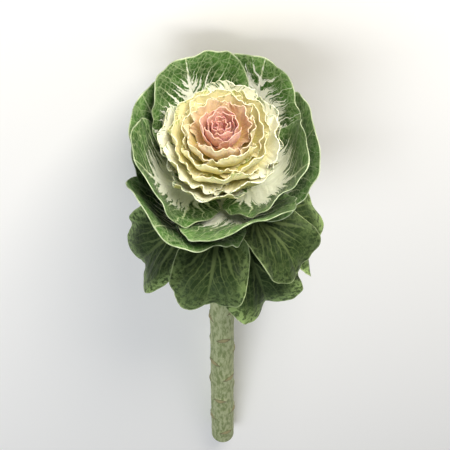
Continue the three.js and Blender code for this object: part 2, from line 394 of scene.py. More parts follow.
SHAPES = {
    Tier.LOWER: TierShape(
        orders=(-6, -5, -3, -2, 0, 3), root=(-44, -12), rim=(54, 66), top=(-94, -32),
        inner_reach=(0.4, 0.4), inner_rise=(8, 6), outer_reach=(1, 0.92), outer_rise=(8, 14),
        half_width=(28, 22), curl=(0, 0), stalk=20, stalk_half=4.4, rib=3, thickness=1.1,
        sweep=165, wave=3, waves=4.2, notch=0.04, start=STEM_SURFACE, open=1.4, fold=0.35, sway=0.2,
        frill=1.1, frills=9, tooth=0.02, teeth=26, pale=(-0.3, -0.2), rib_pitch=0.22,
        columns=128, rows=36,
    ),
    Tier.CUP: TierShape(
        orders=tuple(range(4, 13)), root=(-8, 18), rim=(59, 49), top=(50, 76),
        inner_reach=(0.72, 0.72), inner_rise=(2, 2), outer_reach=(0.97, 1.02), outer_rise=(24, 24),
        half_width=(43, 38), curl=(8, 4), stalk=6, stalk_half=4.4, rib=3, thickness=1.1,
        sweep=160, wave=1.4, waves=4.6, notch=0.05, start=STEM_SURFACE,
        frill=0.9, frills=12, tooth=0.02, teeth=34, rib_pitch=0.2,
        pale=(0.5, 0.42, 0.4, 0.5, 0.42, 0.76, 0.52, 0.54, 0.68), columns=160, rows=44,
    ),
    Tier.MARBLED: TierShape(
        orders=tuple(range(13, 20)), root=(30, 38), rim=(38, 34.8), top=(60, 67),
        inner_reach=(0.75, 0.75), inner_rise=(2, 2), outer_reach=(0.98, 1.04), outer_rise=(17, 17),
        half_width=(28, 25), curl=(2, 1.5), stalk=3, stalk_half=3.4, rib=1.8, thickness=1,
        sweep=155, wave=1.2, waves=6.5, notch=0.05, start=4.6,
        frill=1.2, frills=13, tooth=0.11, teeth=34, unruly=1.2, blister=0.4, pale=(0.92, 1.12),
        columns=160, rows=32,
    ),
    Tier.CREAM: TierShape(
        orders=tuple(range(20, 36)), root=(42, 51.6), rim=(32.8, 15.4), top=(66, 77.5),
        inner_reach=(0.8, 0.8), inner_rise=(2, 2), outer_reach=(1.04, 1.1), outer_rise=(12, 12),
        half_width=(27, 16), curl=(1, 1), stalk=3, stalk_half=2.6, rib=0.9, thickness=0.9,
        sweep=152, wave=1, waves=7.5, notch=0.03, start=2.6,
        frill=0.9, frills=15, tooth=0.1, teeth=30, unruly=1.2, blister=0.25, edge_thickness=0.4,
        pale=(1.02, 1.3), flush=(-0.7, 0.5), columns=144, rows=24,
    ),
    Tier.HEART: TierShape(
        orders=tuple(range(36, 50)), root=(54.8, 60.5), rim=(12.4, 2.6), top=(78.5, 77.5),
        inner_reach=(0.85, 0.9), inner_rise=(2, 2), outer_reach=(1.08, 1.15), outer_rise=(14, 10),
        half_width=(12.5, 3.6), curl=(0.3, 0.3), stalk=1.5, stalk_half=1.4, rib=0.3, thickness=0.8,
        sweep=152, wave=0.5, waves=6, notch=0, start=-0.8,
        frill=0.4, frills=9, tooth=0.1, teeth=18, unruly=0.4, blister=0.1, edge_thickness=0.4,
        pale=(1.4, 1.4), flush=(0.5, 1), columns=80, rows=18,
    ),
}


@dataclass
class Leaf:
    """One leaf: a blade on a short stalk, bent round the plant's axis and rooted on its stem.

    Each of its draws adds a fraction of its own to the leaf's order, so that no two share a seed.
    """

    tier: Tier
    index: int

    BLADE_WAIST = 0.52  # where the blade is widest, as a share of its length
    NOTCH_WIDTH = 0.09  # of the dent where the midrib meets the edge
    RIB_HALF_WIDTH = 3
    RIB_RISE = 0.85  # how far the side ribs climb to the edge, as a share of the leaf's length
    FAN_STEP = 15 * DEGREE  # between ribs that fan out from the stalk
    SIDE_SHIFT = 0.45  # share of a step by which one side's ribs stand off the other's
    RIB_DRIFT = 0.22  # share of a step by which they are unevenly spaced
    RIB_THIN, RIB_THICK = 0.2, 1.45  # half width that a side rib shows, at the edge and inside
    PATTERN_DEPTH = 40  # the leaves are cut from so many millimetres of their finish's patterns
    STALK_ROWS = 3
    FLOOR_SKIN = 0.6  # least height of the leaf's upper face over the surface it lies on

    def __post_init__(self) -> None:
        """Works out the leaf's own measures from its tier and its place in it."""
        shape = SHAPES[self.tier]
        share = self.index / (len(shape.orders) - 1)
        self.shape = shape
        self.order = shape.orders[self.index]
        self.name = f"{self.tier.value}_blade_{self.index + 1}"
        self.node = f"{self.tier.value}_{self.index + 1}"
        self.root = lerp(*shape.root, share)
        self.rim = lerp(*shape.rim, share) + self.stray(shape.unruly, 0.15)
        self.top = lerp(*shape.top, share) + self.stray(shape.unruly, 0.45)
        self.half_width = lerp(*shape.half_width, share)
        self.curl = lerp(*shape.curl, share)
        self.pale = np.interp(share, np.linspace(0, 1, len(shape.pale)), shape.pale)
        self.flush = max(0, lerp(*shape.flush, share))
        self.azimuth = self.order * GOLDEN_ANGLE
        self.phase = draw(self.order) * 2 * math.pi
        self.bend = self.stray(shape.sway, 0.5)
        inner = max(shape.start, self.rim * lerp(*shape.inner_reach, share))
        outer = self.rim * lerp(*shape.outer_reach, share)
        self.handles = np.array([
            (shape.start, self.root),
            (inner, self.root + lerp(*shape.inner_rise, share)),
            (outer, self.root + lerp(*shape.outer_rise, share)),
            (self.rim, self.top),
        ])
        self.steps = np.linspace(0, 1, 401)
        path = self.curve_at(self.steps)
        run = np.concatenate([[0], np.cumsum(np.hypot(*np.diff(path, axis=0).T))])
        self.length = run[-1]
        self.shares = run / self.length

    def stray(self, most: float, seed: float) -> float:
        """An amount between -most and most, drawn with a fraction that is the draw's own."""
        return most * (2 * draw(self.order + seed) - 1)

    def curve_at(self, step: np.ndarray) -> np.ndarray:
        """Follows the midrib.

        Args:
            step: 0 at the root to 1 at the tip, as the curve is drawn.

        Returns:
            Points of the curve, as distance from the axis and height.
        """
        a, b, c, d = self.handles
        t = step[:, None]
        return a * (1 - t) ** 3 + 3 * b * t * (1 - t) ** 2 + 3 * c * t ** 2 * (1 - t) + d * t ** 3

    def slope_at(self, step: np.ndarray) -> np.ndarray:
        """Finds which way the midrib runs.

        Args:
            step: 0 at the root to 1 at the tip, as the curve is drawn.

        Returns:
            Unit directions of the curve, outwards and up.
        """
        a, b, c, d = self.handles
        t = step[:, None]
        slope = (b - a) * (1 - t) ** 2 + 2 * (c - b) * t * (1 - t) + (d - c) * t ** 2
        return slope / np.linalg.norm(slope, axis=1, keepdims=True)

    def flat(self, across: np.ndarray, along: np.ndarray) -> tuple[np.ndarray, np.ndarray]:
        """Where points of the leaf's grid lie on the leaf laid flat.

        Args:
            across: -1 to 1, with 0 on the midrib.
            along: -1 to 0 on the stalk, 0 to 1 over the blade.

        Returns:
            The distance from the midrib and the distance from the root.
        """
        shape = self.shape
        turn = across * shape.sweep * DEGREE
        waist = lerp(shape.stalk, self.length, self.BLADE_WAIST)
        reach = np.where(np.cos(turn) > 0, self.length - waist, waist - shape.stalk)
        dent = shape.notch * np.exp(-((across / self.NOTCH_WIDTH) ** 2))
        ragged = 1 - dent - shape.tooth * self.toothing(across)
        out_x = self.half_width * ragged * squared(np.sin(turn))
        out_y = waist + reach * ragged * squared(np.cos(turn))
        blade = np.maximum(along, 0)
        x = lerp(across * shape.stalk_half, out_x, blade)
        y = np.where(along <= 0, shape.stalk * (1 + along), lerp(shape.stalk, out_y, blade))
        return x, y

    def toothing(self, across: np.ndarray) -> np.ndarray:
        """Cuts the edge into small teeth on uneven lobes.

        Args:
            across: place along the edge, -1 to 1.

        Returns:
            How deep the edge is cut there, from 0 to about 1.
        """
        teeth = self.shape.teeth
        small = np.abs(np.sin(across * teeth * math.pi / 2 + wobble(across * 7, self.order)))
        lobes = 0.35 * wobble(across * teeth * 0.9, self.order + 3)
        return 0.45 + lobes - 0.3 * (small - 0.5)

    def ribs(self, x: np.ndarray, y: np.ndarray) -> tuple[np.ndarray, np.ndarray]:
        """The side ribs as a phase that is whole on each rib.

        Ribs leave the midrib at even steps and rise towards the edge. Below the lowest one they
        fan out from the top of the stalk.

        Args:
            x: distance from the midrib.
            y: distance from the root.

        Returns:
            The phase, and the distance in millimetres that one whole phase takes.
        """
        pitch = self.shape.rib_pitch * self.length
        out = np.abs(x) / self.half_width
        rise = self.RIB_RISE * self.length * out ** 1.1
        blade_y = y - self.shape.stalk
        phase = (blade_y - rise) / pitch
        reach = np.hypot(x, np.maximum(blade_y, 0) + TINY) + TINY
        angle = np.arctan2(np.abs(x), blade_y + TINY)
        lowest = np.arctan2(np.abs(x), rise + TINY)
        fan = -(angle - lowest) / self.FAN_STEP
        below = blade_y < rise
        phase = np.where(below, fan, phase)
        spacing = np.where(below, np.minimum(reach * self.FAN_STEP, pitch), pitch)
        place = y / 16 + np.abs(x) / 23
        left, right = wobble(place, self.order, 3), wobble(place, self.order + 5, 3)
        phase = phase + np.where(x < 0, self.SIDE_SHIFT, 0)
        return phase + self.RIB_DRIFT * np.where(x < 0, left, right), np.maximum(spacing, 0.8)

    def place(self, x: np.ndarray, y: np.ndarray, across: np.ndarray, along: np.ndarray,
              lift: np.ndarray) -> np.ndarray:
        """Bends points of the flat leaf into the plant.

        Args:
            x: distance from the midrib.
            y: distance from the root.
            across: place across the leaf's grid.
            along: place along the leaf's grid.
            lift: distance off the middle of the blade, towards the underside.

        Returns:
            The points in the plant's frame.
        """
        shape = self.shape
        share = np.clip(y / self.length, 0, 1)
        step = np.interp(share, self.shares, self.steps)
        path, slope = self.curve_at(step), self.slope_at(step)
        blade = np.maximum(0, along)
        ripple = shape.wave * blade ** 3 * np.sin(across * shape.waves * math.pi + self.phase)
        shift = 1.3 * wobble(across * 5, self.order + 7)
        depth = 0.7 + 0.5 * wobble(across * 4, self.order + 1)
        small = np.sin(across * shape.frills * math.pi + shift + self.phase)
        ripple += shape.frill * blade ** 7 * small * depth
        off = lift + ripple + self.curl * share * blade ** 5 - shape.fold * np.abs(x) * blade
        wrap = path[:, 0] * (1 + (shape.open - 1) * share)
        angle = x / wrap + self.bend * share ** 2
        radius = wrap + off * slope[:, 1]
        px = path[:, 0] - wrap + radius * np.cos(angle)
        py = radius * np.sin(angle)
        pz = path[:, 1] - off * slope[:, 0]
        c, s = math.cos(self.azimuth), math.sin(self.azimuth)
        return np.stack([c * px - s * py, s * px + c * py, pz], axis=1)

    def body(self, x: np.ndarray, y: np.ndarray, edge: np.ndarray) -> np.ndarray:
        """Works out the leaf's thickness: thin at the edge, with its ribs standing out under it.

        Args:
            x: distance from the midrib.
            y: distance from the root.
            edge: distance from the edge.

        Returns:
            The thickness in millimetres.
        """
        shape = self.shape
        blade = lerp(shape.edge_thickness, shape.thickness, smoothstep(edge, 0, 6))
        taper = np.maximum(0, 1 - 0.9 * y / self.length)
        rib = shape.rib * taper * np.exp(-((x / self.RIB_HALF_WIDTH) ** 2))
        phase, spacing = self.ribs(x, y)
        near = np.abs(phase - np.round(phase)) * spacing
        side_rib = 0.5 * np.exp(-((near / 0.9) ** 2)) * smoothstep(edge, 2, 20) * (shape.rib > 1)
        return blade + rib + side_rib

    def build(self, lie: Lie, unevenness: Unevenness) -> Piece:
        """Models the leaf as a grid that is bent into shape and given its thickness.

        Args:
            lie: how the plant lies.
            unevenness: the bend of the whole head.

        Returns:
            The leaf, in place, with the attributes that its material reads.
        """
        shape = self.shape
        deselect_all()
        bpy.ops.mesh.primitive_grid_add(
            x_subdivisions=shape.columns, y_subdivisions=shape.rows, size=2)
        piece = bpy.context.object
        piece.name = self.name
        grid = vertex_places(piece)
        across = -grid[:, 0]
        stalk_share = self.STALK_ROWS / shape.rows
        up = (grid[:, 1] + 1) / 2
        along = np.where(up < stalk_share - TINY, up / stalk_share - 1,
                         (up - stalk_share) / (1 - stalk_share))
        x, y = self.flat(across, along)
        out_x, out_y = self.flat(across, np.ones_like(along))
        edge = (1 - np.maximum(along, 0)) * np.hypot(out_x, out_y - shape.stalk)
        phase, _ = self.ribs(x, y)
        bulge = np.sin(math.pi * phase) ** 2 * smoothstep(np.abs(x), 0, 5) * smoothstep(edge, 0, 8)
        pucker = wobble(x / 3.2 + 1.1 * wobble(y / 9, self.order), self.order + 2, 3)
        quilt = 0.5 * pucker * wobble(y / 4.1, self.order + 4, 3)
        lift = -shape.thickness / 2 - shape.blister * (bulge + 0.5 * quilt * smoothstep(edge, 0, 6))
        points = self.place(x, y, across, along, lift)
        move_vertices(piece, lie.to_scene(unevenness.bend(points)))
        self.mark(piece, x, y, across, along, edge)
        self.thicken(piece, self.body(x, y, edge))
        return piece

    def mark(self, piece: Piece, x: np.ndarray, y: np.ndarray, across: np.ndarray,
             along: np.ndarray, edge: np.ndarray) -> None:
        """Stores what the leaf's material reads.

        The attribute blade is the flat place, veins the side ribs' phase and width and the
        midrib, and tints the pale patch, the distance from the edge and the place on the blade.

        Args:
            piece: the leaf's sheet.
            x: distance from the midrib.
            y: distance from the root.
            across: place across the leaf's grid.
            along: place along the leaf's grid.
            edge: distance from the edge.
        """
        phase, spacing = self.ribs(x, y)
        share = np.clip(y / self.length, 0, 1)
        rib_width = lerp(self.RIB_THIN, self.RIB_THICK, smoothstep(edge, 4, 40))
        midrib = np.abs(x) / (0.3 + (self.shape.stalk_half * 0.5) * (1 - share) ** 1.3)
        slow, quick = wobble(across * 3.3, self.order + 9), wobble(across * 17, self.order + 11)
        lopsided = self.stray(0.3, 0.62) * across
        pale = self.pale + (0.1 * slow + 0.04 * quick) + lopsided - along
        seeded = np.full_like(x, self.PATTERN_DEPTH * draw(self.order + 0.75))
        for name, values in (
            ("blade", (x, y, seeded)),
            ("veins", (phase, rib_width / spacing, midrib)),
            ("tints", (pale, edge, np.maximum(along, 0))),
        ):
            write_attribute(piece, name, np.stack(values, axis=1))
        write_attribute(piece, "tone", np.full_like(x, draw(self.order + 0.6)))
        write_attribute(piece, "flush", np.full_like(x, self.flush))

    def thicken(self, piece: Piece, body: np.ndarray) -> None:
        """Gives the sheet its thickness towards the underside, and keeps it off the surface.

        Args:
            piece: the leaf's sheet. Its vertices past those of the sheet are the underside's.
            body: the thickness at each vertex of the sheet.
        """
        sheet = len(body)
        group = piece.vertex_groups.new(name="body")
        most = float(body.max())
        for number, value in enumerate(body / most):
            group.add([number], float(value), "REPLACE")
        solidify = piece.modifiers.new("body", "SOLIDIFY")
        solidify.thickness = most * MM
        solidify.offset = -1
        solidify.vertex_group = group.name
        solidify.use_rim = True
        bpy.ops.object.modifier_apply(modifier=solidify.name)
        piece.vertex_groups.clear()
        side = np.zeros(len(piece.data.vertices))
        side[sheet:] = 1
        write_attribute(piece, "side", side)
        places = vertex_places(piece)
        places[:, 2] = np.maximum(places[:, 2], np.where(side > 0.5, 0, self.FLOOR_SKIN * MM))
        move_vertices(piece, places)
        bpy.ops.object.shade_smooth_by_angle(angle=CREASE)


@dataclass(frozen=True)
class LeafFinish:
    """A living cabbage leaf: soft tissue under a waxy cuticle that dulls its gloss.

    The tissue between the ribs is green, or pale where it has lost its green. The pale
    tissue ends in a marbled seam that runs up the ribs and the fine net between them.

    Attributes:
        tissue, tissue_light: the green, which changes from leaf to leaf and patch to patch.
        pale, pale_base: the pale tissue, near the edge and at the blade's base.
        margin, margin_mm: the pale line round the edge, and its width.
        under, under_vein: the underside. two_faced is how far it differs from the upper face.
        The cup leaves' dark underside colour is painted shade.
        speck, specks: dark specks on the teeth, and how strongly they show.
        blush, blush_deep: what a leaf that has turned pink is tinted with.
        mottle, mottling: light spots of age, and how strongly they show at the edge.
        vein_strength, vein_fade: how far the ribs show, and how far they fade to the edge.
        net_mm, net_strength: size of the fine net's meshes, and how far it shows.
        roughness, gloss: how dull the wax is, and how strongly it reflects.
        translucency: how far light spreads through the tissue.
    """

    name: str
    tissue: str
    tissue_light: str
    vein: str
    pale: str
    pale_base: str
    margin: str
    under: str
    under_vein: str
    speck: str
    blush: str = "#e6b39c"
    blush_deep: str = "#d88f91"
    mottle: str = "#8ca566"
    mottling: float = 0
    specks: float = 0
    two_faced: float = 1
    margin_mm: float = 0.5
    margin_strength: float = 0.7
    vein_strength: float = 1
    vein_fade: float = 0.7
    net_mm: float = 3.4
    net_strength: float = 0.25
    roughness: float = 0.46
    gloss: float = 0.4
    translucency: float = 0.06

    CLOUD_MM = 12  # slow changes of tone over a blade
    GRAIN_MM = 2.2  # the tissue's cells are finer, and are drawn coarse enough to show
    STIR_MM = 5  # how far the net is stirred out of even cells, and from how far apart
    SPECK_MM = 2.6
    MOTTLE_REACH = 17  # how far in from the edge the spots of age come
    STREAKS = (6, 2.5, 40)  # streaks to a rib's step, to the blade's length, and apart in tone

    SEAM_WEIGHTS = (0.22, 0.95, 0.2, 0.22)  # of ribs, streaks, clouds and grain
    SEAM = (0.66, 0.74)  # where in their sum the green ends and the pale begins

    # For each order of side ribs: how many to a phase, their shift and width, where on the
    # blade they begin, and how strong they are
    RIB_ORDERS = ((1, 0, 1, -0.1, 1), (1, 0.5, 0.6, 0.35, 0.6), (2, 0.5, 0.8, 0.62, 0.45))

    def material(self) -> Material:
        """Builds the finish.

        Returns:
            The finish as a node material.
        """
        material = new_material(self.name)
        tree = material.node_tree
        blade, veins, tints = (add_node(tree, ATTRIBUTE, attribute_name=name).outputs["Vector"]
                               for name in ("blade", "veins", "tints"))
        tone, flush, side = (add_node(tree, ATTRIBUTE, attribute_name=name).outputs["Fac"]
                             for name in ("tone", "flush", "side"))
        phase, width, midrib = add_node(tree, "ShaderNodeSeparateXYZ", {0: veins}).outputs
        pale, edge, along = add_node(tree, "ShaderNodeSeparateXYZ", {0: tints}).outputs

        clouds = add_node(tree, NOISE, {"Vector": blade, "Scale": 1 / self.CLOUD_MM, "Detail": 3,
                                        "Roughness": 0.55})
        grain = add_node(tree, NOISE, {"Vector": blade, "Scale": 1 / self.GRAIN_MM, "Detail": 4,
                                       "Roughness": 0.6})
        drift = add_node(tree, MATH, {0: clouds, 1: 0.9, 2: phase}, operation="MULTIPLY_ADD")
        lengthwise = add_node(tree, "ShaderNodeCombineXYZ", {0: drift, 1: along, 2: tone})
        drawn = add_node(tree, "ShaderNodeMapping", {"Vector": lengthwise, "Scale": self.STREAKS})
        streaks = add_node(tree, NOISE, {"Vector": drawn, "Scale": 1, "Detail": 3,
                                         "Roughness": 0.55})
        ribs = self.rib_mask(tree, drift, width, midrib, along)
        net = self.net_mask(tree, blade)
        white = self.pale_mask(tree, pale, (ribs, streaks, clouds, grain))
        mottled = self.mottle_mask(tree, edge, tone, grain)
        rim = self.rim_mask(tree, edge, clouds)

        shade = add_node(tree, MAP_RANGE, {0: clouds, 1: 0.35, 2: 0.65})
        shade = add_node(tree, MATH, {0: tone, 1: 0.6, 2: shade}, operation="MULTIPLY_ADD")
        shade = add_node(tree, MATH, {0: shade, 1: 0.6}, operation="MULTIPLY", use_clamp=True)
        faint = add_node(tree, MATH, {0: net, 1: self.net_strength}, operation="MULTIPLY")
        tissue = paint(tree, self.tissue, (shade, self.tissue_light), (faint, self.vein),
                       (ribs, self.vein), (mottled, self.mottle))
        tip = add_node(tree, MAP_RANGE, {0: along, 1: 0.3, 2: 0.92}, **SMOOTH)
        faded = add_node(tree, MAP_RANGE, {0: streaks, 1: 0.35, 2: 0.7, 3: 0, 4: 0.16})
        bleached = paint(tree, self.pale_base, (tip, self.pale), (faded, self.tissue_light))
        # The underside's colour. On the cup leaves it is a dark green of painted shade.
        below = paint(tree, self.under, (mottled, self.mottle), (ribs, self.under_vein),
                      (rim, self.margin))
        turned = add_node(tree, MATH, {0: side, 1: self.two_faced}, operation="MULTIPLY")
        deep = add_node(tree, MAP_RANGE, {0: grain, 1: 0.4, 2: 0.62}, **SMOOTH)
        blush = paint(tree, self.blush, (deep, self.blush_deep))
        pink = add_node(tree, MAP_RANGE, {0: clouds, 1: 0.3, 2: 0.6, 3: 0.6, 4: 1})
        pink = add_node(tree, MATH, {0: pink, 1: flush}, operation="MULTIPLY", use_clamp=True)
        skin = paint(tree, tissue, (white, bleached), (rim, self.margin), (turned, below),
                     (self.speck_mask(tree, blade, edge), self.speck), (pink, blush))

        dull = add_node(tree, MAP_RANGE, {0: grain, 1: 0.3, 2: 0.7, 3: self.roughness - 0.07,
                                          4: self.roughness + 0.1})
        height = add_node(tree, MATH, {0: net, 1: -0.35, 2: grain}, operation="MULTIPLY_ADD")
        height = add_node(tree, MATH, {0: ribs, 1: -1.1, 2: height}, operation="MULTIPLY_ADD")
        bump = add_node(tree, "ShaderNodeBump", {"Strength": 0.5, "Distance": 0.35 * MM,
                                                 "Height": height})
        shader = add_node(tree, "ShaderNodeBsdfPrincipled", {
            "Base Color": skin, "Roughness": dull, "Normal": bump, "IOR": WAX_IOR,
            "Subsurface Weight": self.translucency, "Subsurface Radius": (1.0, 0.8, 0.3),
            "Subsurface Scale": 2 * MM, "Sheen Weight": 0.02, "Sheen Roughness": 0.5,
            "Specular IOR Level": self.gloss,
        })
        add_node(tree, "ShaderNodeOutputMaterial", {"Surface": shader})
        return material

    def rib_mask(self, tree: Tree, phase: Node, width: Socket, midrib: Socket,
                 along: Socket) -> Node:
        """Draws the midrib and the side ribs, each order finer and starting nearer the edge.

        Args:
            tree: the material's node tree.
            phase: whole on each first side rib.
            width: half a rib's width, in phases.
            midrib: distance from the midrib, 1 at its flank.
            along: 0 at the blade's base and 1 at its edge.

        Returns:
            1 on the ribs and 0 between them.
        """
        mask = add_node(tree, MAP_RANGE, {0: midrib, 1: 0.6, 2: 1.6, 3: 1, 4: 0}, **SMOOTH)
        for times, shift, narrow, first, strength in self.RIB_ORDERS:
            turned = add_node(tree, MATH, {0: phase, 1: times, 2: shift}, operation="MULTIPLY_ADD")
            nearest = add_node(tree, MATH, {0: turned, 1: 0.5}, operation="PINGPONG")
            ratio = add_node(tree, MATH, {0: nearest, 1: width}, operation="DIVIDE")
            line = add_node(tree, MAP_RANGE, {0: ratio, 1: 0.3 * narrow, 2: 1.7 * narrow,
                                              3: strength, 4: 0}, **SMOOTH)
            grown = add_node(tree, MAP_RANGE, {0: along, 1: first, 2: first + 0.25}, **SMOOTH)
            line = add_node(tree, MATH, {0: line, 1: grown}, operation="MULTIPLY")
            mask = add_node(tree, MATH, {0: mask, 1: line}, operation="MAXIMUM")
        fade = add_node(tree, MAP_RANGE, {0: along, 1: 0.35, 2: 1.0, 3: self.vein_strength,
                                          4: self.vein_strength * (1 - self.vein_fade)})
        return add_node(tree, MATH, {0: mask, 1: fade}, operation="MULTIPLY")

    def net_mask(self, tree: Tree, blade: Socket) -> Node:
        """The fine net between the ribs: cells that are stirred, so that no two are alike.

        Args:
            tree: the material's node tree.
            blade: place on the flat leaf.

        Returns:
            1 on the net and 0 inside its meshes.
        """
        stir = add_node(tree, NOISE, {"Vector": blade, "Scale": 1 / self.STIR_MM, "Detail": 2})
        stirred = add_node(tree, "ShaderNodeVectorMath", {
            0: stir.outputs["Color"], 1: (self.STIR_MM,) * 3, 2: blade,
        }, operation="MULTIPLY_ADD")
        cells = add_node(tree, "ShaderNodeTexVoronoi", {
            "Vector": stirred, "Scale": 1 / self.net_mm,
        }, feature="DISTANCE_TO_EDGE").outputs["Distance"]
        return add_node(tree, MAP_RANGE, {0: cells, 1: 0.01, 2: 0.14, 3: 1, 4: 0}, **SMOOTH)

    def rim_mask(self, tree: Tree, edge: Socket, clouds: Node) -> Node:
        """The pale line along the edge, worn away in places.

        Args:
            tree: the material's node tree.
            edge: distance from the edge.
            clouds: slow noise.

        Returns:
            1 at the edge and 0 inside it.
        """
        rim = add_node(tree, MAP_RANGE, {0: edge, 1: self.margin_mm * 0.4, 2: self.margin_mm * 1.6,
                                         3: self.margin_strength, 4: 0}, **SMOOTH)
        worn = add_node(tree, MAP_RANGE, {0: clouds, 1: 0.38, 2: 0.6, 3: 0.3, 4: 1})
        return add_node(tree, MATH, {0: rim, 1: worn}, operation="MULTIPLY")

    def pale_mask(self, tree: Tree, pale: Socket, patterns: tuple[Node, ...]) -> Node:
        """The pale tissue, feathered at its seam.

        Args:
            tree: the material's node tree.
            pale: above 0 inside the pale patch, as a share of the blade.
            patterns: the patterns that feather the seam.

        Returns:
            1 in the pale tissue and 0 in the green.
        """
        field = pale
        for pattern, weight in zip(patterns, self.SEAM_WEIGHTS):
            field = add_node(tree, MATH, {0: pattern, 1: weight, 2: field},
                             operation="MULTIPLY_ADD")
        return add_node(tree, MAP_RANGE, {0: field, 1: self.SEAM[0], 2: self.SEAM[1]}, **SMOOTH)

    def mottle_mask(self, tree: Tree, edge: Socket, tone: Socket, grain: Node) -> Node:
        """The light spots of an ageing leaf, which come in from its edge.

        Args:
            tree: the material's node tree.
            edge: distance from the edge.
            tone: the leaf's own tone, from 0 to 1.
            grain: fine noise.

        Returns:
            1 in a light spot.
        """
        reach = add_node(tree, MAP_RANGE, {0: edge, 1: 0, 2: self.MOTTLE_REACH, 3: self.mottling,
                                           4: 0}, **SMOOTH)
        aged = add_node(tree, MAP_RANGE, {0: tone, 1: 0.25, 2: 0.7, 3: 0.25, 4: 1})
        reach = add_node(tree, MATH, {0: reach, 1: aged}, operation="MULTIPLY")
        spots = add_node(tree, MAP_RANGE, {0: grain, 1: 0.42, 2: 0.56, 3: 0.15, 4: 1}, **SMOOTH)
        return add_node(tree, MATH, {0: reach, 1: spots}, operation="MULTIPLY")

    def speck_mask(self, tree: Tree, blade: Socket, edge: Socket) -> Node:
        """Dark specks on the teeth of the edge.

        Args:
            tree: the material's node tree.
            blade: place on the flat leaf.
            edge: distance from the edge.

        Returns:
            1 on a speck.
        """
        spots = add_node(tree, NOISE, {"Vector": blade, "Scale": 1 / self.SPECK_MM, "Detail": 2,
                                       "Roughness": 0.6})
        spots = add_node(tree, MAP_RANGE, {0: spots, 1: 0.56, 2: 0.64}, **SMOOTH)
        near = add_node(tree, MAP_RANGE, {0: edge, 1: 0.5, 2: 2.2, 3: self.specks, 4: 0})
        return add_node(tree, MATH, {0: spots, 1: near}, operation="MULTIPLY")


FINISHES = {
    # Old blade: its wax is thick and dull over dark tissue, which dies back in light spots
    Tier.LOWER: LeafFinish(
        name="old_leaf_dark_green", tissue="#18260e", tissue_light="#2f421f", vein="#617143",
        pale="#a9bd80", pale_base="#a9bd80", margin="#b4c492", under="#35482a",
        under_vein="#6d8253", speck="#2c401f", mottling=0.9, margin_mm=0.6, net_mm=5,
        net_strength=0.2, vein_strength=0.75, vein_fade=0.8, roughness=0.52, gloss=0.12,
    ),
    # Full-grown blade: a smooth wax with a soft gleam, and thick ribs that show pale. Its dark
    # underside colour is painted shade, for the shade that the packed head casts on it.
    Tier.CUP: LeafFinish(
        name="cup_leaf_waxy_green", tissue="#1b380f", tissue_light="#4b7733", vein="#d5e3b4",
        pale="#fbfbf3", pale_base="#f0f4e0", margin="#d3dfba", under="#2a3f22",
        # under is a dark green of painted shade, darker than the real underside
        under_vein="#6b8358", speck="#3f6a35", mottle="#84a764", mottling=0.5, margin_mm=0.5,
        vein_fade=0.45, net_mm=4.6, net_strength=0.2, roughness=0.42, gloss=0.24,
    ),
    # Young blade: white but for its streaks of green, and thin enough to pass some light
    Tier.MARBLED: LeafFinish(
        name="marbled_leaf_white_and_green", tissue="#34591f", tissue_light="#6a9442",
        vein="#dbe6c0", pale="#f9f9ea", pale_base="#e2d98a", margin="#f4f6e4", under="#cfc67c",
        under_vein="#e6e2b4", speck="#3d6b30", margin_mm=0.6, specks=0.6, translucency=0.12,
        net_strength=0.12,
    ),
    # Rosette blade: almost all its green gone, a thin dull wax, and light through its folds
    Tier.CREAM: LeafFinish(
        name="cream_leaf", tissue="#7c9a4c", tissue_light="#b9c67c", vein="#ece1a8",
        pale="#f1e8bc", pale_base="#cfc65c", margin="#f9f2da", under="#e6df98",
        under_vein="#f3edc4", speck="#76904a", specks=0.8, net_strength=0.15, translucency=0.2,
        roughness=0.55, two_faced=0.4,
    ),
    # Heart blade: turned pink, with little wax as yet, and the most translucent of all
    Tier.HEART: LeafFinish(
        name="heart_leaf_pink", tissue="#dc9492", tissue_light="#eab4a4", vein="#f0c4b6",
        pale="#f6dcc0", pale_base="#e5a893", margin="#f6dccb", under="#e7aca0",
        under_vein="#eebfae", speck="#b8505f", specks=0.7, net_strength=0.15, translucency=0.32,
        roughness=0.55, two_faced=0.4,
    ),
}


